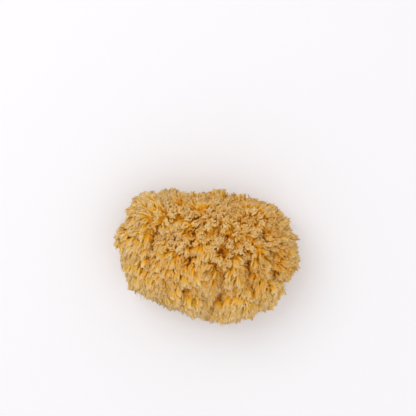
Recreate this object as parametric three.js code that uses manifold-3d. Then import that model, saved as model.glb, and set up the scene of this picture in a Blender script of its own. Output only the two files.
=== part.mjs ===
// A natural bath sponge: one lobed, tufted skeleton, cut flat where it grew on the rock.
// Millimetres, +Z up. The cut base lies on z = 0 and the origin is under the middle of the box.
// The solid reaches the tips of the tufts.

import * as THREE from "three";
import { ImprovedNoise } from "three/addons/math/ImprovedNoise.js";
import { mergeVertices } from "three/addons/utils/BufferGeometryUtils.js";
import Module from "manifold-3d";

// Driving dimensions
const WIDTH = 156; // along X
const DEPTH = 114; // along Y
const HEIGHT = 90; // from the cut base to the crown

// The lobes, as shares of half the width, half the depth and the height.
// The first is the heart, which all directions are taken from.
const LOBES = [
  { centre: [0.06, 0.05, 0.38], radii: [0.8, 0.78, 0.58] }, // heart
  { centre: [-0.58, 0.22, 0.37], radii: [0.4, 0.52, 0.41] }, // left shoulder
  { centre: [-0.46, 0.5, 0.38], radii: [0.44, 0.42, 0.4] }, // back left
  { centre: [0.02, 0.56, 0.38], radii: [0.48, 0.36, 0.41] }, // back
  { centre: [0.46, 0.4, 0.4], radii: [0.42, 0.44, 0.42] }, // back right
  { centre: [0.66, 0.02, 0.36], radii: [0.36, 0.54, 0.4] }, // right shoulder
  { centre: [0.54, -0.38, 0.36], radii: [0.36, 0.42, 0.37] }, // front right
  { centre: [0.27, -0.52, 0.38], radii: [0.42, 0.44, 0.4] }, // front tip
  { centre: [-0.18, -0.36, 0.39], radii: [0.42, 0.44, 0.42] }, // front
  { centre: [-0.52, -0.14, 0.4], radii: [0.4, 0.46, 0.42] }, // front left
];

// How the lobes run into each other
const BLEND_SHARPNESS = 8;
const VALLEY_DEPTH = 0.04 * HEIGHT;
const VALLEY_HALF_WIDTH = 0.12;

// Uneven growth, coarse knolls first and then tuft clumps
const GROWTH = [
  { size: 0.17 * WIDTH, rise: 0.024 * WIDTH },
  { size: 0.065 * WIDTH, rise: 0.014 * WIDTH },
];

// Openings that water left the sponge by: turn and tilt in degrees, and width
const OSCULUM_DEPTH = 0.17 * HEIGHT;
const OSCULUM_FLARE = 1.35;
const FUNNEL_DEPTH = 0.05 * HEIGHT;
const FUNNEL_REACH = 1.4; // times the opening's width
const OSCULA = [
  { turn: 24, tilt: 58, width: 7 },
  { turn: 66, tilt: 70, width: 5.5 },
  { turn: 8, tilt: 70, width: 6.5 },
  { turn: 178, tilt: 74, width: 6 },
  { turn: 150, tilt: 38, width: 6.5 },
  { turn: 215, tilt: 30, width: 5.5 },
  { turn: 95, tilt: 20, width: 7 },
  { turn: 330, tilt: 24, width: 6 },
];

// Canals laid open by the cut, in rings about the middle of the base
const CANAL_DEPTH = 0.13 * HEIGHT;
const CANAL_RINGS = [
  { count: 5, reach: 0.2, width: 5.5 },
  { count: 9, reach: 0.42, width: 4.5 },
];

const SKIN_DETAIL = 16; // cuts along each edge of the icosahedron that the skin starts as
const HOLE_SIDES = 12;
const SEARCH_STEPS = 60;
const HALF_TURN = 180;

const wasm = await Module();
wasm.setup();
const noise = new ImprovedNoise();

function lobeInMillimetres(lobe) {
  return {
    centre: new THREE.Vector3(
      (lobe.centre[0] * WIDTH) / 2,
      (lobe.centre[1] * DEPTH) / 2,
      lobe.centre[2] * HEIGHT,
    ),
    radii: new THREE.Vector3(
      (lobe.radii[0] * WIDTH) / 2,
      (lobe.radii[1] * DEPTH) / 2,
      lobe.radii[2] * HEIGHT,
    ),
  };
}

const lobes = LOBES.map(lobeInMillimetres);
const heart = lobes[0].centre;

// 1 on a lobe's own surface, less inside it and more outside
function lobeDistances(point) {
  return lobes.map((lobe) => point.clone().sub(lobe.centre).divide(lobe.radii).length());
}

// Negative inside the blended lobes and positive outside
function blendedDistance(point) {
  const weights = lobeDistances(point).map((d) => Math.exp(BLEND_SHARPNESS * (1 - d)));
  const total = weights.reduce((sum, weight) => sum + weight, 0);
  return -Math.log(total) / BLEND_SHARPNESS;
}

// The valley along the seam where the two nearest lobes are equally near
function valleyDepth(point) {
  const [nearest, second] = lobeDistances(point).sort((a, b) => a - b);
  const offSeam = (second - nearest) / VALLEY_HALF_WIDTH;
  return VALLEY_DEPTH * Math.exp(-offSeam * offSeam);
}

function growth(point) {
  const rise = (layer) =>
    layer.rise * noise.noise(point.x / layer.size, point.y / layer.size, point.z / layer.size);
  return GROWTH.reduce((sum, layer) => sum + rise(layer), 0);
}

// The dip that the skin makes round each opening
function funnelDepth(direction, distance) {
  const dip = ({ turn, tilt, width }) => {
    const offAxis = direction.angleTo(directionAt(turn, tilt)) * distance;
    return FUNNEL_DEPTH * Math.exp(-((offAxis / (FUNNEL_REACH * width)) ** 2));
  };
  return OSCULA.reduce((sum, opening) => sum + dip(opening), 0);
}

// Distance from the heart to the skin, found from outside inwards and then halved down to
function skinDistance(direction) {
  const at = (distance) => heart.clone().addScaledVector(direction, distance);
  const step = WIDTH / SEARCH_STEPS;
  let inside = WIDTH;
  while (inside > step && blendedDistance(at(inside)) > 0) {
    inside -= step;
  }
  let outside = inside + step;
  for (let i = 0; i < SEARCH_STEPS; i += 1) {
    const middle = (inside + outside) / 2;
    if (blendedDistance(at(middle)) > 0) {
      outside = middle;
    } else {
      inside = middle;
    }
  }
  const point = at(inside);
  return inside + growth(point) - valleyDepth(point) - funnelDepth(direction, inside);
}

function directionAt(turn, tilt) {
  const azimuth = (turn * Math.PI) / HALF_TURN;
  const elevation = (tilt * Math.PI) / HALF_TURN;
  return new THREE.Vector3(
    Math.cos(elevation) * Math.cos(azimuth),
    Math.cos(elevation) * Math.sin(azimuth),
    Math.sin(elevation),
  );
}

function welded(geometry) {
  const bare = geometry.clone();
  bare.deleteAttribute("normal");
  bare.deleteAttribute("uv");
  return mergeVertices(bare);
}

function toSolid(geometry) {
  return new wasm.Manifold(
    new wasm.Mesh({
      numProp: 3,
      vertProperties: new Float32Array(geometry.attributes.position.array),
      triVerts: new Uint32Array(geometry.index.array),
    }),
  );
}

function toGeometry(solid) {
  const mesh = solid.getMesh();
  const geometry = new THREE.BufferGeometry();
  geometry.setAttribute("position", new THREE.BufferAttribute(mesh.vertProperties, mesh.numProp));
  geometry.setIndex(new THREE.BufferAttribute(mesh.triVerts, 1));
  geometry.computeVertexNormals();
  return geometry;
}

// The whole skin, before the base is cut: a ball of even triangles moved out to the lobes,
// stretched to the driving dimensions and centred over the origin
function skinGeometry() {
  const skin = welded(new THREE.IcosahedronGeometry(1, SKIN_DETAIL));
  const place = skin.attributes.position;
  for (let i = 0; i < place.count; i += 1) {
    const direction = new THREE.Vector3().fromBufferAttribute(place, i).normalize();
    const point = heart.clone().addScaledVector(direction, skinDistance(direction));
    place.setXYZ(i, point.x, point.y, point.z);
  }
  skin.computeBoundingBox();
  const { min, max } = skin.boundingBox;
  skin.translate(-(min.x + max.x) / 2, -(min.y + max.y) / 2, 0);
  skin.scale(WIDTH / (max.x - min.x), DEPTH / (max.y - min.y), HEIGHT / max.z);
  return skin;
}

// Everything below the cut
function belowTheCut() {
  const block = new THREE.BoxGeometry(2 * WIDTH, 2 * DEPTH, HEIGHT);
  block.translate(0, 0, -HEIGHT / 2);
  return toSolid(welded(block));
}

// A round hole that narrows inwards, with its mouth past the skin
function osculumHole({ turn, tilt, width }) {
  const direction = directionAt(turn, tilt);
  const floor = (width / 2) * (2 - OSCULUM_FLARE);
  const mouth = (width / 2) * OSCULUM_FLARE;
  const hole = new THREE.CylinderGeometry(mouth, floor, 2 * OSCULUM_DEPTH, HOLE_SIDES);
  hole.applyQuaternion(
    new THREE.Quaternion().setFromUnitVectors(new THREE.Vector3(0, 1, 0), direction),
  );
  const centre = heart.clone().addScaledVector(direction, skinDistance(direction));
  hole.translate(centre.x, centre.y, centre.z);
  return toSolid(welded(hole));
}

// One ring of canals that run up from the base
function canalHoles({ count, reach, width }) {
  return Array.from({ length: count }, (_, i) => {
    const azimuth = (2 * Math.PI * i) / count + reach;
    const hole = new THREE.CylinderGeometry(width / 3, width / 2, 2 * CANAL_DEPTH, HOLE_SIDES);
    hole.rotateX(Math.PI / 2);
    hole.translate(
      ((reach * WIDTH) / 2) * Math.cos(azimuth),
      ((reach * DEPTH) / 2) * Math.sin(azimuth),
      0,
    );
    return toSolid(welded(hole));
  });
}

function sponge() {
  let solid = toSolid(skinGeometry()).subtract(belowTheCut());
  for (const hole of OSCULA.map(osculumHole)) {
    solid = solid.subtract(hole);
  }
  for (const hole of CANAL_RINGS.flatMap(canalHoles)) {
    solid = solid.subtract(hole);
  }
  const material = new THREE.MeshStandardMaterial({
    color: 0xd4a248,
    roughness: 0.95,
    metalness: 0,
  });
  const mesh = new THREE.Mesh(toGeometry(solid), material);
  mesh.name = "sponge";
  return mesh;
}

const part = new THREE.Group();
part.add(sponge());

export default part;
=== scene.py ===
"""A natural bath sponge, grown over its solid: a porous body, tufts all over it, loose fibres
between them, and a plain pale studio. Metres, +Z up, the cut base on z = 0."""

import math

import bpy
import numpy as np
from bpy.props import FloatProperty, FloatVectorProperty, IntProperty, PointerProperty
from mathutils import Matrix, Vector, noise
from mathutils.bvhtree import BVHTree


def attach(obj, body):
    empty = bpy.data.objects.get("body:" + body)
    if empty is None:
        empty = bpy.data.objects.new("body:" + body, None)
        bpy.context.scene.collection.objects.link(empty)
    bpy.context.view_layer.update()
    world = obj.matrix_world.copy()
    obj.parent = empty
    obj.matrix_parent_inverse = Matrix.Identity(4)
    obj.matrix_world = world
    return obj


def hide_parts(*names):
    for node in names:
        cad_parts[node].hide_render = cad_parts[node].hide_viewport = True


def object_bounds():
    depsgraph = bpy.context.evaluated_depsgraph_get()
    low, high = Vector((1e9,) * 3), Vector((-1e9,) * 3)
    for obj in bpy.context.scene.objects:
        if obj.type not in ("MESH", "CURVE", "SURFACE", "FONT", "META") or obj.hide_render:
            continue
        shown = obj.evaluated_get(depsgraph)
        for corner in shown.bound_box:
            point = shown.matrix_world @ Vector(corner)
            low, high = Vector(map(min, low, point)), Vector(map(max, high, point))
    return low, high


bl_info = {
    "name": "Natural Bath Sponge",
    "version": (1, 0, 0),
    "blender": (4, 5, 0),
    "location": "View3D > Sidebar > Sponge",
    "description": "Grows a porous body, tufts and fibres over the solid of a natural bath sponge",
    "category": "Add Mesh",
}

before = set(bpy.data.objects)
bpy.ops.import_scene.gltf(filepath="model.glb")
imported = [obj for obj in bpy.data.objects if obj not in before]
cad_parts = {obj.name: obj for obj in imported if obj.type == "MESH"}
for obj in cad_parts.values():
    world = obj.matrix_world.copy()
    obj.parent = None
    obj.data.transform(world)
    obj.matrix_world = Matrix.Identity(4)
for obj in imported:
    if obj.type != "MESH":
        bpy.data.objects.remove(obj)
CAD_LOW, CAD_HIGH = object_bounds()
SPAN = CAD_HIGH - CAD_LOW  # width, depth and height
NODE = "sponge"
TUFT_MAP = "OFBake"

MM = 0.001
WELD = 0.01 * MM
HEART = Vector((0, 0, 0.42 * SPAN.z))  # what the skin is measured outwards from

# How the body is grown
SKIN_SMOOTHING = 14
BASE_CUT = 0.6 * MM

# Where tufts root
ROOT_TRIES = 40000
SKIN_SAMPLES = 6000
LOWEST_ROOT = 1.2 * MM
HOLLOW_REACH = 9 * MM
DEEPEST_ROOT = 12 * MM  # below the skin round it

# How tufts grow
FINGER_KINDS, FAN_KINDS, STRAND_KINDS = 8, 4, 4
TUFT_SPREAD = 1.2 * MM  # of the strands round their root
LEAN_STANDING, LEAN_LYING = 26.0, 64.0  # degrees
CLUMP_PULL = 0.14  # how far tips are drawn together in a clump, and then in a tuft
TUFT_PULL = 0.26
TUFT_ROUNDNESS = 8 * MM
TUFT_SOFTNESS = 0.66  # how far the facing of a whole tuft wins over each strand's own
UPWARD = (0, 0, 0.4)
CLEAR_OF_FLOOR = 0.25 * MM
PRESSED_BELOW = 1.6 * MM


# ---------------------------------------------------------------- settings


class SpongeSizes(bpy.types.PropertyGroup):
    """The sizes of what grows on the sponge"""

    skin_depth: FloatProperty(
        name="Skin depth",
        description="How far the body's skin lies below the tips of the tufts",
        default=7.6 * MM,
        unit="LENGTH",
    )
    body_grain: FloatProperty(
        name="Body grain",
        description="Size of the body's faces",
        default=1.1 * MM,
        unit="LENGTH",
    )
    knoll_size: FloatProperty(
        name="Knoll size",
        description="Width of the small rises of the skin",
        default=13 * MM,
        unit="LENGTH",
    )
    knoll_height: FloatProperty(
        name="Knoll height",
        description="How far the small rises differ in height",
        default=7.5 * MM,
        unit="LENGTH",
    )
    valley_depth: FloatProperty(
        name="Valley depth",
        description="Depth of the folds between the lobes",
        default=9 * MM,
        unit="LENGTH",
    )
    pit_depth: FloatProperty(
        name="Pit depth",
        description="Depth of the openings in the crown",
        default=7 * MM,
        unit="LENGTH",
    )
    pore_size: FloatProperty(
        name="Pore size",
        description="Distance between the pores of the skin",
        default=3.6 * MM,
        unit="LENGTH",
    )
    pore_depth: FloatProperty(
        name="Pore depth",
        description="Depth of the pores of the skin",
        default=2.2 * MM,
        unit="LENGTH",
    )
    tuft_length: FloatProperty(
        name="Tuft length",
        description="Length of a full-grown tuft",
        default=9.6 * MM,
        unit="LENGTH",
    )
    finger_width: FloatProperty(
        name="Finger width",
        description="Width of the finger or fan in the middle of a tuft",
        default=3.3 * MM,
        unit="LENGTH",
    )
    strand_width: FloatProperty(
        name="Strand width",
        description="Width of one of the strands round a finger or fan",
        default=1.8 * MM,
        unit="LENGTH",
    )
    fingers_each: IntProperty(
        name="Fingers",
        description="Number of fingers or fans that grow from one root",
        default=1,
        min=1,
    )
    strands_each: IntProperty(
        name="Strands",
        description="Number of strands that grow from one root",
        default=12,
        min=0,
    )
    tuft_spacing: FloatProperty(
        name="Tuft spacing",
        description="Least distance between the roots of two tufts",
        default=4.0 * MM,
        unit="LENGTH",
    )
    clump_spacing: FloatProperty(
        name="Clump spacing",
        description="Least distance between two clumps of tufts",
        default=9 * MM,
        unit="LENGTH",
    )
    fibres_each: IntProperty(
        name="Fibres",
        description="Number of loose fibres that grow from one root",
        default=2,
        min=0,
    )


class SpongeColours(bpy.types.PropertyGroup):
    """The colours of dry spongin, from the pores out to the tips, and the painted shade of the
    pits
    """

    # Pit is painted shade for the openings and folds of the body.
    pit: FloatVectorProperty(
        name="Pit",
        description="Darkest colour, at the bottom of the openings and folds",
        subtype="COLOR",
        default=(0.62, 0.24, 0.01),
        min=0,
        max=1,
    )
    pore: FloatVectorProperty(
        name="Pore",
        description="Deepest colour, inside pores and openings",
        subtype="COLOR",
        default=(0.86, 0.36, 0.014),
        min=0,
        max=1,
    )
    root: FloatVectorProperty(
        name="Root",
        description="Colour at the roots of the tufts",
        subtype="COLOR",
        default=(0.84, 0.44, 0.045),
        min=0,
        max=1,
    )
    honey: FloatVectorProperty(
        name="Honey",
        description="Colour along the tufts",
        subtype="COLOR",
        default=(0.8, 0.5, 0.16),
        min=0,
        max=1,
    )
    tip: FloatVectorProperty(
        name="Tip",
        description="Palest colour, at the tips of the tufts",
        subtype="COLOR",
        default=(0.84, 0.63, 0.38),
        min=0,
        max=1,
    )


class SpongeStage(bpy.types.PropertyGroup):
    """The studio round the sponge"""

    floor_size: FloatProperty(
        name="Floor size",
        description="Side of the square floor",
        default=8.0,
        unit="LENGTH",
    )
    camera_lens: FloatProperty(
        name="Lens", description="Focal length of the camera", default=85.0, unit="CAMERA"
    )
    key_power: FloatProperty(
        name="Key light", description="Power of the main soft light", default=4.0, unit="POWER"
    )
    fill_power: FloatProperty(
        name="Fill light", description="Power of the fill light", default=2.5, unit="POWER"
    )
    surround: FloatProperty(
        name="Surround", description="Strength of the light from all round", default=0.78
    )


# ---------------------------------------------------------------- working with pieces


def make_active(piece):
    """Selects one piece and nothing else."""
    bpy.ops.object.select_all(action="DESELECT")
    piece.select_set(True)
    bpy.context.view_layer.objects.active = piece


def finish_with(piece, kind, **settings):
    """Adds a modifier to a piece and applies it."""
    modifier = piece.modifiers.new(kind.title(), kind)
    for name, value in settings.items():
        setattr(modifier, name, value)
    make_active(piece)
    bpy.ops.object.modifier_apply(modifier=modifier.name)


def texture(name, kind, **settings):
    """A procedural texture for a Displace modifier."""
    made = bpy.data.textures.new(name, kind)
    for key, value in settings.items():
        setattr(made, key, value)
    return made


def keep(piece, material):
    """Files a finished piece with the sponge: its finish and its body."""
    piece.data.materials.clear()
    piece.data.materials.append(material)
    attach(piece, "root")


def vertex_numbers(mesh, name):
    """One vector for each vertex of a mesh, "co" for its place or "normal" for its facing."""
    found = np.empty(len(mesh.vertices) * 3, np.float32)
    mesh.vertices.foreach_get(name, found)
    return found.reshape(-1, 3).astype(float)


def unit(vectors):
    """Vectors brought to length 1."""
    return vectors / np.maximum(np.linalg.norm(vectors, axis=-1, keepdims=True), 1e-12)


def smoothstep(low, high, values):
    """0 up to low, 1 from high on and an even rise between them."""
    t = np.clip((values - low) / (high - low), 0, 1)
    return t * t * (3 - 2 * t)


def mixed(a, b, share):
    """a at a share of 0, b at a share of 1."""
    return a + (b - a) * share


# ---------------------------------------------------------------- body


# Folds between the lobes: two ends, half width and depth, as shares of the width, the depth,
# the width and the valley depth
FOLDS = [
    ((-0.26, 0.24), (-0.25, 0.17), 0.026, 0.65),
    ((-0.25, 0.17), (-0.29, 0.03), 0.026, 0.6),
    ((-0.29, 0.03), (-0.31, -0.08), 0.024, 0.5),
    ((0.335, 0.05), (0.34, -0.12), 0.03, 0.9),
    ((0.08, -0.06), (0.07, -0.22), 0.028, 1.1),
    ((0.07, -0.22), (0.025, -0.36), 0.028, 0.8),
    ((-0.10, -0.20), (-0.15, -0.32), 0.028, 0.7),
    ((-0.07, 0.14), (-0.10, -0.02), 0.03, 1.0),
    ((-0.07, 0.14), (-0.02, 0.30), 0.026, 0.7),
    ((0.20, 0.0), (0.23, -0.18), 0.028, 0.9),
    ((0.28, 0.17), (0.20, 0.0), 0.024, 0.6),
]

# Openings in the crown: place and half width, as shares of the width, the depth and the width
PITS = [
    (0.147, 0.175, 0.017),
    (0.103, 0.158, 0.012),
    (0.048, 0.184, 0.014),
    (0.070, 0.053, 0.016),
    (0.083, 0.010, 0.012),
    (0.122, 0.035, 0.014),
    (-0.090, 0.009, 0.015),
    (-0.077, 0.184, 0.013),
    (0.192, -0.018, 0.014),
    (0.040, -0.045, 0.014),
    (0.300, 0.060, 0.013),
]


def fold_share(places):
    """How deep in a fold each place lies, from 0 to about 1."""
    flat = places[:, :2]
    found = np.zeros(len(places))
    for start, end, half_width, depth in FOLDS:
        a = np.array((start[0] * SPAN.x, start[1] * SPAN.y))
        b = np.array((end[0] * SPAN.x, end[1] * SPAN.y))
        t = np.clip((flat - a) @ (b - a) / ((b - a) @ (b - a)), 0, 1)[:, None]
        off = np.linalg.norm(flat - (a + t * (b - a)), axis=1) / (half_width * SPAN.x)
        found = np.maximum(found, depth * np.exp(-(off**2)))
    return found * smoothstep(0.3 * SPAN.z, 0.6 * SPAN.z, places[:, 2])


def pit_share(places):
    """How deep in an opening of the crown each place lies, from 0 to 1."""
    found = np.zeros(len(places))
    for x, y, half_width in PITS:
        off = places[:, :2] - (x * SPAN.x, y * SPAN.y)
        off = np.linalg.norm(off, axis=1) / (half_width * SPAN.x)
        found = np.maximum(found, np.exp(-(off**4)))
    return found * smoothstep(0.4 * SPAN.z, 0.6 * SPAN.z, places[:, 2])


def out_of_pits(places):
    """The way out of the nearest opening, longest beside it."""
    found = np.zeros((len(places), 2))
    for x, y, half_width in PITS:
        off = places[:, :2] - (x * SPAN.x, y * SPAN.y)
        far = np.linalg.norm(off, axis=1, keepdims=True)
        found += unit(off) * np.exp(-((far / (2.3 * half_width * SPAN.x)) ** 2))
    return found * smoothstep(0.4 * SPAN.z, 0.6 * SPAN.z, places[:, 2])[:, None]


def sink(piece, name, shares, depth):
    """Lowers a piece's skin by the given share of a depth at each vertex."""
    group = piece.vertex_groups.new(name=name)
    for index in np.flatnonzero(shares > 0.01):
        group.add([int(index)], float(min(shares[index], 1)), "REPLACE")
    finish_with(piece, "DISPLACE", vertex_group=name, strength=-depth, mid_level=0)
    piece.vertex_groups.remove(piece.vertex_groups[name])


def grow_body(sizes):
    """The body under the tufts: the solid drawn in by the skin depth, with knolls on its skin."""
    body = bpy.data.objects.new("sponge_body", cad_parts[NODE].data.copy())
    bpy.context.scene.collection.objects.link(body)
    body.data.materials.clear()
    make_active(body)
    drawn_in = [1 - 2 * sizes.skin_depth / SPAN.x, 1 - 2 * sizes.skin_depth / SPAN.y]
    drawn_in.append(1 - sizes.skin_depth / SPAN.z)
    bpy.ops.object.mode_set(mode="EDIT")
    bpy.ops.mesh.select_all(action="SELECT")
    bpy.ops.mesh.remove_doubles(threshold=WELD)
    bpy.ops.transform.resize(value=drawn_in, center_override=(0, 0, 0))
    bpy.ops.object.mode_set(mode="OBJECT")
    finish_with(body, "REMESH", mode="VOXEL", voxel_size=sizes.body_grain)
    finish_with(body, "SMOOTH", factor=0.5, iterations=SKIN_SMOOTHING)
    knolls = texture("knolls", "CLOUDS", noise_scale=sizes.knoll_size, noise_depth=1)
    finish_with(
        body,
        "DISPLACE",
        texture=knolls,
        texture_coords="LOCAL",
        strength=sizes.knoll_height,
        mid_level=0.5,
    )
    sink(body, "folds", fold_share(vertex_numbers(body.data, "co")), sizes.valley_depth)
    sink(body, "pits", pit_share(vertex_numbers(body.data, "co")), sizes.pit_depth)
    # A remesh numbers its corners differently each time, so its squares are cut by their shape
    finish_with(body, "TRIANGULATE", quad_method="SHORTEST_DIAGONAL")
    places = vertex_numbers(body.data, "co")
    # Painted shade: the body is painted towards the pit colour in its openings and folds, by this
    # share.
    deep = np.clip(pit_share(places) + 0.5 * fold_share(places), 0, 1)
    kept = body.data.attributes.new("deep", "FLOAT", "POINT")
    kept.data.foreach_set("value", deep.astype(np.float32))
    return body


def open_pores(body, sizes):
    """Pits all over the skin, and the flat cut underneath."""
    pores = texture("pores", "VORONOI", noise_scale=sizes.pore_size, noise_intensity=1.4)
    finish_with(
        body,
        "DISPLACE",
        texture=pores,
        texture_coords="LOCAL",
        strength=sizes.pore_depth,
        mid_level=0.8,
    )
    level_base(body, BASE_CUT)
    make_active(body)
    bpy.ops.object.shade_smooth()


def level_base(body, cut):
    """Lowers the body by the depth of the cut and presses what is then too low up to the floor."""
    places = vertex_numbers(body.data, "co")
    places[:, 2] = np.maximum(places[:, 2] - cut, CAD_LOW.z)
    body.data.vertices.foreach_set("co", places.astype(np.float32).ravel())
    body.data.update()


# ---------------------------------------------------------------- roots


def solid_triangles():
    """The corners of the solid's triangles."""
    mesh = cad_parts[NODE].data
    mesh.calc_loop_triangles()
    corners = np.empty(len(mesh.loop_triangles) * 3, np.int32)
    mesh.loop_triangles.foreach_get("vertices", corners)
    return vertex_numbers(mesh, "co")[corners.reshape(-1, 3)]


def scatter(count, rng):
    """Random places all over the solid, evenly by area."""
    corners = solid_triangles()
    a, b, c = corners[:, 0], corners[:, 1], corners[:, 2]
    area = np.linalg.norm(np.cross(b - a, c - a), axis=1)
    face = rng.choice(len(area), count, p=area / area.sum())
    u, v = rng.random((2, count))
    folded = u + v > 1
    u[folded], v[folded] = 1 - u[folded], 1 - v[folded]
    return a[face] + u[:, None] * (b - a)[face] + v[:, None] * (c - a)[face]


def settle(places, body):
    """The outermost places of the body's skin in line with the heart, and the way they face."""
    tree = BVHTree.FromObject(body, bpy.context.evaluated_depsgraph_get())
    found = []
    for place in places:
        inwards = (HEART - Vector(place)).normalized()
        spot, facing, _, _ = tree.ray_cast(Vector(place) - inwards * 0.2 * SPAN.x, inwards)
        if spot:
            found.append((*spot, *facing))
    found = np.array(found)
    return found[:, :3], found[:, 3:]


def spaced(places, spacing):
    """Which places to keep, so that no two kept ones are closer than the spacing."""
    cells = {}
    kept = []
    near = [(i, j, k) for i in (-1, 0, 1) for j in (-1, 0, 1) for k in (-1, 0, 1)]
    for index, place in enumerate(places):
        x, y, z = (int(c) for c in place // spacing)
        others = (o for i, j, k in near for o in cells.get((x + i, y + j, z + k), ()))
        if all(((place - places[o]) ** 2).sum() > spacing**2 for o in others):
            cells.setdefault((x, y, z), []).append(index)
            kept.append(index)
    return np.array(kept)


def hollowness(places, around, heart, reach):
    """How much deeper each place lies than the skin round it, measured out from the heart."""
    own = np.linalg.norm(places - heart, axis=1)
    out = np.linalg.norm(around - heart, axis=1)
    found = np.empty(len(places))
    for i, place in enumerate(places):
        close = ((around - place) ** 2).sum(1) < reach**2
        found[i] = out[close].mean() - own[i] if close.any() else 0
    return found


def drift(places, size, seed):
    """A slow random vector field, each part from about -1 to 1."""
    # Blender starts its noise from the clock unless it is given a seed
    noise.seed_set(int(seed))
    return np.array([noise.noise_vector(Vector(p / size) + Vector((seed, 0, 0))) for p in places])


def plan_roots(body, sizes):
    """Where the tufts root, and how hollow the skin is there."""
    rng = np.random.default_rng(11)
    heart = np.array(HEART)
    places, normals = settle(scatter(ROOT_TRIES, rng), body)
    around = settle(scatter(SKIN_SAMPLES, rng), body)[0]
    off_base = (places[:, 2] > LOWEST_ROOT) & (normals[:, 2] > -0.85)
    kept = np.flatnonzero(off_base)
    kept = kept[spaced(places[kept], sizes.tuft_spacing)]
    places, normals = places[kept], normals[kept]
    hollow = hollowness(places, around, heart, HOLLOW_REACH)
    outward = unit(places - heart)
    open_skin = (hollow < DEEPEST_ROOT) & ((outward * normals).sum(1) > 0.1)
    open_skin &= pit_share(places) < 0.4
    return {
        "places": places[open_skin],
        "normals": unit(normals[open_skin] + 0.5 * outward[open_skin]),
        "hollow": hollow[open_skin],
    }


def sprout(roots, each, rng):
    """Several growths for each root, close round it, with each one's own turn there. The first
    stands nearest the root."""
    count = len(roots["places"])
    owner = np.repeat(np.arange(count), each)
    aside = rng.normal(0, TUFT_SPREAD, (len(owner), 3))
    aside[::each] *= 0.3
    normals = roots["normals"][owner]
    aside -= (aside * normals).sum(1, keepdims=True) * normals
    return {
        "places": roots["places"][owner] + aside,
        "normals": unit(normals + 0.1 * aside / MM),
        "hollow": roots["hollow"][owner],
        "owner": owner,
        "turn": np.tile(np.arange(each), count),
    }


# How far the tufts swing aside as they hang, at shares of the width from the middle
SWING = [
    (-0.5, 0.35),
    (-0.3, 0.1),
    (-0.16, 0.3),
    (-0.03, 0.1),
    (0.1, -0.4),
    (0.3, -0.2),
    (0.5, 0.0),
]


def fall_of(places, normals):
    """The way the tufts hang: forwards over the face, outwards at the back, a little down."""
    x, y = places[:, 0] / SPAN.x, places[:, 1] / SPAN.y
    forwards = 1 - smoothstep(0.3, 0.44, y + 0.1 * drift(places, 16 * MM, 5.0)[:, 0])
    swing = np.interp(x, *zip(*SWING))
    fall = np.zeros(places.shape)
    fall[:, 0] = swing * forwards + 1.2 * x * (1 - forwards)
    fall[:, 1] = 0.35 - 1.35 * forwards
    fall[:, 2] = -0.3
    fall[:, :2] += 2.0 * out_of_pits(places)
    fall += 0.28 * drift(places, 12 * MM, 3.0)
    fall -= (fall * normals).sum(1, keepdims=True) * normals
    return unit(fall), np.clip(np.linalg.norm(fall, axis=1), 0.35, 1)


def comb(roots, sizes, rng):
    """The course of each growth: its elbow and tip, and how far it lies down, from 0 to 1."""
    places, normals = roots["places"], roots["normals"]
    count = len(places)
    x, y = places[:, 0] / SPAN.x, places[:, 1] / SPAN.y
    fall, pull = fall_of(places, normals)
    lying = 1 - smoothstep(0.0, 0.6, x + y)
    lying = np.maximum(lying, 0.6 * (1 - smoothstep(0.25, 0.6, normals[:, 2])))
    slow = drift(places, 22 * MM, 8.0)[:, 0]
    beside = np.clip(np.linalg.norm(out_of_pits(places), axis=1), 0, 1)
    lean = pull * mixed(LEAN_STANDING, LEAN_LYING, lying * (1 - beside))
    lean = lean + 12 * slow + rng.normal(0, 7, count)
    lean = np.radians(lean)[:, None]
    length = sizes.tuft_length * mixed(0.7, 1.0, lying) * (1 + 0.15 * slow)
    length *= np.where(roots["turn"] == 0, 0.85, rng.uniform(0.68, 1.12, count))
    length *= rng.uniform(0.8, 1.2, count)[roots["owner"]]
    length *= 1 - 0.35 * np.clip(fold_share(places), 0, 1)
    length *= mixed(0.95, 1.0, smoothstep(0.35 * SPAN.z, 0.7 * SPAN.z, places[:, 2]))
    length *= 1 + 0.26 * smoothstep(0.3, 0.45, x) * smoothstep(-0.45, -0.3, -y)
    length = length[:, None]
    start = unit(normals * np.cos(0.5 * lean) + fall * np.sin(0.5 * lean))
    end = unit(normals * np.cos(1.3 * lean) + fall * np.sin(1.3 * lean))
    end = unit(end + 0.24 * rng.normal(0, 1, (count, 3)))
    elbow = places + start * 0.45 * length
    tip = elbow + end * 0.58 * length
    return elbow, tip, lying


def clumps_of(places, spacing, rng):
    """The place in the middle of the clump that each place belongs to."""
    order = rng.permutation(len(places))
    chosen = order[spaced(places[order], spacing)]
    nearest = np.empty(len(places), int)
    for i, place in enumerate(places):
        nearest[i] = chosen[((places[chosen] - place) ** 2).sum(1).argmin()]
    return nearest


# ---------------------------------------------------------------- tufts


def pick(piece, wanted):
    """Selects the vertices of a piece that are wanted, and opens it for editing."""
    bpy.ops.object.mode_set(mode="OBJECT")
    mesh = piece.data
    mesh.polygons.foreach_set("select", np.zeros(len(mesh.polygons), bool))
    mesh.edges.foreach_set("select", np.zeros(len(mesh.edges), bool))
    mesh.vertices.foreach_set("select", wanted)
    bpy.ops.object.mode_set(mode="EDIT")
    bpy.ops.mesh.select_mode(type="VERT")


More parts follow.
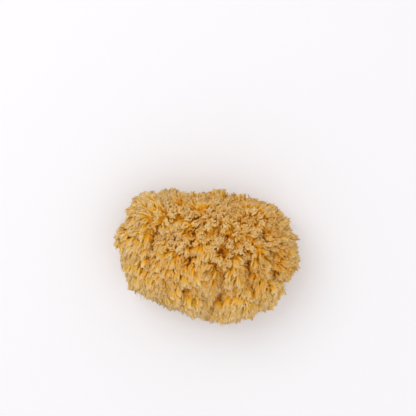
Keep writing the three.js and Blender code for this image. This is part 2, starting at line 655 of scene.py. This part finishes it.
def draw_up(sides, groove, radii, heights, sway):
    """A growth drawn up ring by ring from a flat foot, with every second corner drawn in."""
    bpy.ops.object.select_all(action="DESELECT")
    bpy.ops.mesh.primitive_circle_add(vertices=sides, radius=radii[0], fill_type="NGON")
    foot = bpy.context.active_object
    if groove < 1:
        pick(foot, np.arange(sides) % 2 == 1)
        bpy.ops.transform.resize(value=(groove, groove, 1), center_override=(0, 0, 0))
    bpy.ops.object.mode_set(mode="EDIT")
    bpy.ops.mesh.select_all(action="SELECT")
    centre = Vector((0, 0, 0))
    for step in range(1, len(radii)):
        move = Vector((*sway[step], heights[step])) - centre
        centre += move
        bpy.ops.mesh.extrude_region()
        bpy.ops.transform.translate(value=move)
        grown = radii[step] / radii[step - 1]
        bpy.ops.transform.resize(value=(grown, grown, 1), center_override=centre)
    return foot


def finished(piece, name, flat):
    """A pattern flattened, facing outwards and out of edit mode."""
    bpy.ops.mesh.select_all(action="SELECT")
    bpy.ops.transform.resize(value=(1, flat, 1), center_override=(0, 0, 0))
    bpy.ops.mesh.normals_make_consistent(inside=False)
    bpy.ops.object.mode_set(mode="OBJECT")
    piece.name = name
    return piece


def model_finger(name, rng):
    """A finger a unit tall and a unit wide: soft and a little flat, with a rounded end."""
    heights = [0, 0.28, 0.52, 0.72, 0.88, 0.98]
    radii = np.array([0.26, 0.38, 0.46, 0.5, 0.43, 0.24]) * rng.uniform(0.9, 1.1, 6)
    sway = rng.normal(0, 0.07, (6, 2))
    sway[0] = 0
    finger = draw_up(8, rng.uniform(0.7, 0.9), list(radii), heights, sway)
    bpy.ops.mesh.poke(offset=0.0)
    fray(finger, 0.95, 0.1, (-0.1, 0.12), rng)
    return finished(finger, name, rng.uniform(0.65, 0.95))


def model_fan(name, rng):
    """A fan a unit tall and a unit wide: flat and ribbed, with a blunt, frilled, sunken end."""
    heights = [0, 0.3, 0.6, 0.82, 0.94]
    radii = np.array([0.24, 0.36, 0.47, 0.5, 0.4]) * rng.uniform(0.88, 1.1, 5)
    sway = rng.normal(0, 0.04, (5, 2))
    fan = draw_up(8, rng.uniform(0.66, 0.8), list(radii), heights, sway)
    bpy.ops.mesh.poke(offset=-0.1)
    fray(fan, 0.9, 0.3, (-0.03, 0.13), rng)
    return finished(fan, name, rng.uniform(0.42, 0.62))


def fray(piece, height, reach, rise, rng):
    """Raises the outer corners of a pattern's end unevenly."""
    bpy.ops.object.mode_set(mode="OBJECT")
    points = vertex_numbers(piece.data, "co")
    ends = (points[:, 2] > height) & (np.hypot(points[:, 0], points[:, 1]) > reach)
    for end in np.flatnonzero(ends):
        pick(piece, np.arange(len(ends)) == end)
        bpy.ops.transform.translate(value=(0, 0, rng.uniform(*rise)))


def model_strand(name, rng):
    """A thin strand a unit tall and a unit wide, tapered to a soft end."""
    heights = [0, 0.4, 0.75, 0.96]
    radii = np.array([0.4, 0.5, 0.52, 0.3]) * rng.uniform(0.85, 1.15, 4)
    sway = rng.normal(0, 0.3, (4, 2))
    sway[0] = 0
    return finished(draw_up(4, 1, list(radii), heights, sway), name, 1)


def model_fibre(name):
    """One loose fibre a unit tall and a unit wide, thin all along."""
    sway = [(0, 0), (0.4, 0.2), (0.2, -0.3)]
    return finished(draw_up(3, 1, [0.5, 0.5, 0.1], [0, 0.6, 1.0], sway), name, 1)


def shape_of(pattern):
    """A pattern's vertices, corners and face starts, and the pattern put away."""
    mesh = pattern.data
    corners = np.empty(len(mesh.loops), np.int32)
    mesh.loops.foreach_get("vertex_index", corners)
    starts = np.empty(len(mesh.polygons), np.int32)
    mesh.polygons.foreach_get("loop_start", starts)
    shape = {"points": vertex_numbers(mesh, "co"), "corners": corners, "starts": starts}
    bpy.data.objects.remove(pattern)
    return shape


def lift(points):
    """Keeps points above the surface that the sponge rests on, pressing them flat near it."""
    z = points[..., 2]
    room = PRESSED_BELOW - CLEAR_OF_FLOOR
    pressed = CLEAR_OF_FLOOR + room * np.exp((z - PRESSED_BELOW) / room)
    points[..., 2] = np.where(z < PRESSED_BELOW, pressed, z)
    return points


def along(shape, places, elbows, tips, widths, turns):
    """Copies of a shape, each bent along its own course from root to tip."""
    x, y, z = shape["points"].T
    s = z[None, :, None]
    root, elbow, tip = places[:, None], elbows[:, None], tips[:, None]
    course = (1 - s) ** 2 * root + 2 * s * (1 - s) * elbow + s**2 * tip
    heading = unit(2 * (1 - s) * (elbow - root) + 2 * s * (tip - elbow))
    side = unit(np.cross(elbows - places, tips - elbows) + 1e-9)[:, None]
    side = unit(side - (side * heading).sum(-1, keepdims=True) * heading)
    other = np.cross(heading, side)
    c, d = np.cos(turns)[:, None], np.sin(turns)[:, None]
    across = ((c * x - d * y) * widths[:, None])[..., None]
    beside = ((d * x + c * y) * widths[:, None])[..., None]
    return lift(course + across * side + beside * other)


def joined(name, shape, copies, tone, facing):
    """One mesh of all the copies of a shape. Its map holds tone across and reach upwards, and
    its normals turn partly towards the facing that each copy is given."""
    count, per = copies.shape[:2]
    base = np.arange(count)[:, None]
    corners = (shape["corners"] + base * per).ravel()
    starts = (shape["starts"] + base * len(shape["corners"])).ravel()
    mesh = bpy.data.meshes.new(name)
    mesh.vertices.add(count * per)
    mesh.vertices.foreach_set("co", copies.reshape(-1).astype(np.float32))
    mesh.loops.add(len(corners))
    mesh.loops.foreach_set("vertex_index", corners.astype(np.int32))
    mesh.polygons.add(len(starts))
    mesh.polygons.foreach_set("loop_start", starts.astype(np.int32))
    mesh.polygons.foreach_set("use_smooth", np.ones(len(starts), bool))
    # Painted light and shade: the upper side of each copy gets a higher reach and so a paler
    # colour, its underside a lower reach and a deeper colour.
    upward = shape["points"][:, 1] / np.abs(shape["points"][:, 1]).max()
    reach = np.clip(shape["points"][:, 2] - 0.21 * (1 - upward), 0, 1)
    round_it = np.arctan2(shape["points"][:, 1], shape["points"][:, 0]) / math.pi
    u = 0.04 + 0.9 * tone[:, None] + 0.02 * np.abs(round_it)
    v = np.broadcast_to(0.02 + 0.96 * reach, u.shape)
    layer = mesh.uv_layers.new(name=TUFT_MAP)
    spots = np.stack([u, v], -1).reshape(-1, 2)[corners]
    layer.uv.foreach_set("vector", spots.astype(np.float32).ravel())
    mesh.update(calc_edges=True)
    mesh.validate()
    own = vertex_numbers(mesh, "normal").reshape(count, per, 3)
    soft = unit(mixed(own, facing[:, None], TUFT_SOFTNESS))
    mesh.normals_split_custom_set_from_vertices(soft.reshape(-1, 3))
    return mesh


def link(name, mesh):
    """A new piece in the scene with the given mesh."""
    piece = bpy.data.objects.new(name, mesh)
    bpy.context.scene.collection.objects.link(piece)
    return piece


REGIONS = {
    "tufts_crown": lambda p: p[:, 2] > 0.66 * SPAN.z,
    "tufts_left": lambda p: p[:, 0] < -0.22 * SPAN.x,
    "tufts_right": lambda p: p[:, 0] > 0.22 * SPAN.x,
    "tufts_front": lambda p: p[:, 1] < 0,
    "tufts_back": lambda p: p[:, 1] >= 0,
}


def painted_light_paling(places):
    """How much paler the sponge is painted towards its rim and its front, up to 1, as painted
    light, and how much deeper in colour low down, down to -0.25."""
    x, y = places[:, 0] / SPAN.x - 0.04, places[:, 1] / SPAN.y - 0.08
    rim = smoothstep(0.3, 0.5, np.hypot(x, y))
    front = smoothstep(0.2, 0.45, -y)
    low = 1 - smoothstep(0.1 * SPAN.z, 0.45 * SPAN.z, places[:, 2])
    return mixed(np.maximum(rim, 0.8 * front), -0.25, 0.8 * low)


def grow_tufts(roots, sizes, material):
    """All the tufts, one piece for each region. A tuft is a finger where it lies down or a fan
    where it stands, in a bundle of thin strands."""
    rng = np.random.default_rng(5)
    fingers = [shape_of(model_finger(f"finger_pattern_{i}", rng)) for i in range(FINGER_KINDS)]
    fans = [shape_of(model_fan(f"fan_pattern_{i}", rng)) for i in range(FAN_KINDS)]
    strands = [shape_of(model_strand(f"strand_pattern_{i}", rng)) for i in range(STRAND_KINDS)]
    shapes = fingers + fans + strands
    first_fan, first_strand = len(fingers), len(fingers) + len(fans)
    each = sizes.fingers_each + sizes.strands_each
    tufts = sprout(roots, each, rng)
    places, hollow, owner = tufts["places"], tufts["hollow"], tufts["owner"]
    count = len(places)
    elbows, tips, lying = comb(tufts, sizes, rng)
    broad = tufts["turn"] < sizes.fingers_each
    stands = rng.random(count) > lying + 0.3
    fan = rng.integers(first_fan, first_strand, count)
    finger = rng.integers(0, first_fan, count)
    strand = rng.integers(first_strand, len(shapes), count)
    kinds = np.where(broad, np.where(stands, fan, finger), strand)
    clump = clumps_of(places, sizes.clump_spacing, rng)
    tips = mixed(tips, tips[clump], CLUMP_PULL)
    middle = np.arange(0, count, each)[owner]
    rounded = unit(tufts["normals"] + (tips - tips[middle]) / TUFT_ROUNDNESS + UPWARD)
    tips = mixed(tips, tips[middle], TUFT_PULL)
    rise = rng.uniform(-1.7, 1.5, count)[clump] * MM
    tips += rise[:, None] * tufts["normals"]
    elbows += 0.5 * rise[:, None] * tufts["normals"]
    widths = np.where(broad, sizes.finger_width, sizes.strand_width)
    widths *= rng.uniform(0.7, 1.2, count)
    widths *= np.where(stands, 1.05, 1)
    turns = rng.normal(0, 0.45, count)
    # Painted shade: tufts in hollows, in folds, beside the openings and in clumps that sit lower
    # are painted darker. Painted light: the rim and the front are painted paler. The own and
    # shared draws and the drift differ at random, and standing tufts are deeper in colour.
    own = rng.normal(0, 0.05, count)
    shared = rng.normal(0, 0.11, count)[owner] + 0.05 * rise / MM
    near = np.clip(np.linalg.norm(out_of_pits(places), axis=1), 0, 1)
    tone = 0.38 + own + shared - hollow / (13 * MM) + 0.4 * painted_light_paling(places) - 0.2 * near
    tone += 0.12 * drift(places, 15 * MM, 12.0)[:, 0] - 0.17 * (1 - lying)
    tone = np.clip(tone - 0.34 * fold_share(places), 0, 1)
    left = np.ones(count, bool)
    for name, inside in REGIONS.items():
        here = left & inside(places)
        left &= ~here
        groups = []
        for kind, shape in enumerate(shapes):
            mine = here & (kinds == kind)
            copies = along(
                shape, places[mine], elbows[mine], tips[mine], widths[mine], turns[mine]
            )
            mesh = joined(name, shape, copies, tone[mine], rounded[mine])
            groups.append(link(name, mesh))
        make_active(groups[0])
        for other in groups[1:]:
            other.select_set(True)
        bpy.ops.object.join()
        groups[0].name = name
        keep(groups[0], material)


def grow_fibres(roots, sizes, material):
    """Loose single fibres that stand a little past the tufts."""
    rng = np.random.default_rng(23)
    shape = shape_of(model_fibre("fibre_pattern"))
    some = sprout(roots, sizes.fibres_each, rng)
    elbows, tips, _ = comb(some, sizes, rng)
    ends = tips + unit(tips - elbows) * rng.uniform(0.5, 2.0, (len(tips), 1)) * MM
    ends += rng.normal(0, 0.8 * MM, tips.shape)
    widths = rng.uniform(0.18, 0.34, len(tips)) * MM
    turns = rng.uniform(0, 2 * math.pi, len(tips))
    copies = along(shape, some["places"], elbows, ends, widths, turns)
    tone = np.clip(rng.normal(0.7, 0.1, len(tips)), 0, 1)
    piece = link("fibres", joined("fibres", shape, copies, tone, some["normals"]))
    keep(piece, material)


# ---------------------------------------------------------------- finishes


def new_material(name):
    """A material with its node tree and its shader."""
    material = bpy.data.materials.new(name)
    material.use_nodes = True
    tree = material.node_tree
    return material, tree, tree.nodes["Principled BSDF"]


def spongin_shader(shader):
    """What all dry spongin shares: matt, with a faint sheen of fine fibre."""
    shader.inputs["Roughness"].default_value = 0.9
    shader.inputs["Specular IOR Level"].default_value = 0.1
    shader.inputs["Sheen Weight"].default_value = 0.02
    shader.inputs["Sheen Roughness"].default_value = 0.5
    shader.inputs["Sheen Tint"].default_value = (1.0, 0.8, 0.45, 1)


def ramp(tree, stops):
    """A colour ramp through (position, colour) stops."""
    node = tree.nodes.new("ShaderNodeValToRGB")
    elements = node.color_ramp.elements
    while len(elements) < len(stops):
        elements.new(0.5)
    for element, (position, colour) in zip(elements, stops):
        element.position = position
        element.color = (*colour, 1)
    return node


def tuft_finish(colours):
    """Deep honey at the root and pale at the tip, each tuft a little different, with the
    painted light and shade that its map carries.
    """
    material, tree, shader = new_material("spongin_tufts")
    spongin_shader(shader)
    nodes, links = tree.nodes, tree.links
    place = nodes.new("ShaderNodeUVMap")
    place.uv_map = TUFT_MAP
    parts = nodes.new("ShaderNodeSeparateXYZ")
    links.new(place.outputs["UV"], parts.inputs["Vector"])
    body = nodes.new("ShaderNodeTexCoord")
    mottle = nodes.new("ShaderNodeTexNoise")
    mottle.inputs["Scale"].default_value = 650
    mottle.inputs["Detail"].default_value = 3
    links.new(body.outputs["Object"], mottle.inputs["Vector"])
    shift = nodes.new("ShaderNodeMath")
    shift.operation = "MULTIPLY_ADD"
    shift.inputs[1].default_value = 0.2
    links.new(mottle.outputs["Fac"], shift.inputs[0])
    links.new(parts.outputs["Y"], shift.inputs[2])
    lower = nodes.new("ShaderNodeMath")
    lower.operation = "SUBTRACT"
    lower.inputs[1].default_value = 0.1
    links.new(shift.outputs[0], lower.inputs[0])
    # The reach also carries the painted shade of each tuft's underside.
    growth = ramp(
        tree,
        [
            (0.05, colours.pore),
            (0.3, colours.root),
            (0.58, colours.honey),
            (0.95, colours.tip),
        ],
    )
    links.new(lower.outputs[0], growth.inputs["Fac"])
    # The tint follows the tone, so it carries the tone's painted shade and painted light as well
    # as its random differences.
    tint = ramp(tree, [(0.0, (0.92, 0.72, 0.36)), (0.5, (1, 1, 1)), (1.0, (1.05, 1.13, 1.38))])
    links.new(parts.outputs["X"], tint.inputs["Fac"])
    mix = nodes.new("ShaderNodeMix")
    mix.data_type = "RGBA"
    mix.blend_type = "MULTIPLY"
    mix.inputs["Factor"].default_value = 1.0
    links.new(growth.outputs["Color"], mix.inputs["A"])
    links.new(tint.outputs["Color"], mix.inputs["B"])
    links.new(mix.outputs["Result"], shader.inputs["Base Color"])
    grain = nodes.new("ShaderNodeTexNoise")
    grain.inputs["Scale"].default_value = 2200
    grain.inputs["Detail"].default_value = 4
    links.new(body.outputs["Object"], grain.inputs["Vector"])
    bump = nodes.new("ShaderNodeBump")
    bump.inputs["Strength"].default_value = 0.3
    bump.inputs["Distance"].default_value = 0.2 * MM
    links.new(grain.outputs["Fac"], bump.inputs["Height"])
    links.new(bump.outputs["Normal"], shader.inputs["Normal"])
    return material


def body_finish(colours):
    """The porous body, deep golden brown between the roots, with painted shade in its openings and
    folds.
    """
    material, tree, shader = new_material("spongin_body")
    spongin_shader(shader)
    nodes, links = tree.nodes, tree.links
    place = nodes.new("ShaderNodeTexCoord")
    mottle = nodes.new("ShaderNodeTexNoise")
    mottle.inputs["Scale"].default_value = 420
    mottle.inputs["Detail"].default_value = 4
    links.new(place.outputs["Object"], mottle.inputs["Vector"])
    growth = ramp(tree, [(0.3, colours.pore), (0.55, colours.root), (0.8, colours.honey)])
    links.new(mottle.outputs["Fac"], growth.inputs["Fac"])
    # Painted shade: the pit colour is mixed in by the deep share of the openings and folds.
    deep = nodes.new("ShaderNodeAttribute")
    deep.attribute_name = "deep"
    mix = nodes.new("ShaderNodeMix")
    mix.data_type = "RGBA"
    mix.inputs["B"].default_value = (*colours.pit, 1)
    links.new(deep.outputs["Fac"], mix.inputs["Factor"])
    links.new(growth.outputs["Color"], mix.inputs["A"])
    links.new(mix.outputs["Result"], shader.inputs["Base Color"])
    grain = nodes.new("ShaderNodeTexVoronoi")
    grain.inputs["Scale"].default_value = 900
    links.new(place.outputs["Object"], grain.inputs["Vector"])
    bump = nodes.new("ShaderNodeBump")
    bump.inputs["Strength"].default_value = 0.8
    bump.inputs["Distance"].default_value = 0.5 * MM
    links.new(grain.outputs["Distance"], bump.inputs["Height"])
    links.new(bump.outputs["Normal"], shader.inputs["Normal"])
    return material


# ---------------------------------------------------------------- stage


LAMP_COLOUR = (0.93, 0.97, 1.0)
SURROUND_COLOUR = (1.0, 0.965, 0.92)

# The camera's view: the sponge's share of its width, the height at which the sponge is widest,
# as a share of its own, and the middle of the view, as shares of the sponge's width and depth
SPONGE_SHARE = 0.4495
WIDEST_AT = 0.44
VIEW_MIDDLE = (0.0053, 0.3614)


def area_light(name, place, aim, size, power):
    """A soft round lamp turned towards a point."""
    data = bpy.data.lights.new(name, "AREA")
    data.shape = "DISK"
    data.size = size
    data.energy = power
    data.color = LAMP_COLOUR
    light = bpy.data.objects.new(name, data)
    bpy.context.scene.collection.objects.link(light)
    light.location = place
    light.rotation_euler = (Vector(aim) - Vector(place)).to_track_quat("-Z", "Y").to_euler()


def floor_finish():
    """Matt off-white."""
    material, _, shader = new_material("pale_floor")
    shader.inputs["Base Color"].default_value = (0.93, 0.93, 0.98, 1)
    shader.inputs["Roughness"].default_value = 0.95
    shader.inputs["Specular IOR Level"].default_value = 0.1
    return material


def build_floor(stage):
    """The plane that the sponge rests on."""
    bpy.ops.object.select_all(action="DESELECT")
    bpy.ops.mesh.primitive_plane_add(size=stage.floor_size, location=(0, 0, CAD_LOW.z))
    floor = bpy.context.active_object
    floor.name = "floor"
    bpy.ops.object.transform_apply(location=True)
    floor.data.materials.append(floor_finish())


def build_lights(stage):
    """A key lamp from the back left, a fill lamp from above the front and an even surround."""
    middle = (CAD_LOW + CAD_HIGH) / 2
    area_light("key", (-0.5, 0.5, 1.1), middle, 0.9, stage.key_power)
    area_light("fill", (0.3, -0.3, 1.3), middle, 1.2, stage.fill_power)
    world = bpy.data.worlds.new("surround")
    bpy.context.scene.world = world
    world.use_nodes = True
    sky = world.node_tree.nodes["Background"]
    sky.inputs["Color"].default_value = (*SURROUND_COLOUR, 1)
    sky.inputs["Strength"].default_value = stage.surround


def build_camera(stage):
    """Looks straight down. The sponge lies below the middle of the picture."""
    data = bpy.data.cameras.new("camera")
    data.lens = stage.camera_lens
    camera = bpy.data.objects.new("camera", data)
    bpy.context.scene.collection.objects.link(camera)
    view_width = SPAN.x / SPONGE_SHARE
    away = view_width * data.lens / data.sensor_width
    across, along_depth = VIEW_MIDDLE
    camera.location = (across * SPAN.x, along_depth * SPAN.y, WIDEST_AT * SPAN.z + away)
    bpy.context.scene.camera = camera


# ---------------------------------------------------------------- operators


class SPONGE_OT_body(bpy.types.Operator):
    """Grow the porous body of the sponge"""

    bl_idname = "sponge.body"
    bl_label = "Grow Body"

    def execute(self, context):
        sizes, colours = context.scene.sponge_sizes, context.scene.sponge_colours
        body = grow_body(sizes)
        PLAN["roots"] = plan_roots(body, sizes)
        open_pores(body, sizes)
        keep(body, body_finish(colours))
        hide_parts(NODE)
        return {"FINISHED"}


class SPONGE_OT_tufts(bpy.types.Operator):
    """Grow the tufts and the loose fibres on the body"""

    bl_idname = "sponge.tufts"
    bl_label = "Grow Tufts"

    def execute(self, context):
        sizes, colours = context.scene.sponge_sizes, context.scene.sponge_colours
        finish = tuft_finish(colours)
        grow_tufts(PLAN["roots"], sizes, finish)
        grow_fibres(PLAN["roots"], sizes, finish)
        return {"FINISHED"}


class SPONGE_OT_stage(bpy.types.Operator):
    """Build the pale floor, the soft lights and the camera"""

    bl_idname = "sponge.stage"
    bl_label = "Build Stage"

    def execute(self, context):
        stage = context.scene.sponge_stage
        build_floor(stage)
        build_lights(stage)
        build_camera(stage)
        context.scene.view_settings.view_transform = "Standard"
        return {"FINISHED"}


class SPONGE_PT_panel(bpy.types.Panel):
    bl_label = "Natural Bath Sponge"
    bl_space_type = "VIEW_3D"
    bl_region_type = "UI"
    bl_category = "Sponge"

    def draw(self, context):
        layout = self.layout
        for operator in (SPONGE_OT_body, SPONGE_OT_tufts, SPONGE_OT_stage):
            layout.operator(operator.bl_idname)
        for group in (
            context.scene.sponge_sizes,
            context.scene.sponge_colours,
            context.scene.sponge_stage,
        ):
            for name in group.__annotations__:
                layout.prop(group, name)


PLAN = {}
CLASSES = (
    SpongeSizes,
    SpongeColours,
    SpongeStage,
    SPONGE_OT_body,
    SPONGE_OT_tufts,
    SPONGE_OT_stage,
    SPONGE_PT_panel,
)


def register():
    for cls in CLASSES:
        bpy.utils.register_class(cls)
    bpy.types.Scene.sponge_sizes = PointerProperty(type=SpongeSizes)
    bpy.types.Scene.sponge_colours = PointerProperty(type=SpongeColours)
    bpy.types.Scene.sponge_stage = PointerProperty(type=SpongeStage)


def unregister():
    del bpy.types.Scene.sponge_sizes
    del bpy.types.Scene.sponge_colours
    del bpy.types.Scene.sponge_stage
    for cls in reversed(CLASSES):
        bpy.utils.unregister_class(cls)


def main():
    register()
    bpy.ops.sponge.body()
    bpy.ops.sponge.tufts()
    bpy.ops.sponge.stage()


if __name__ == "__main__":
    main()
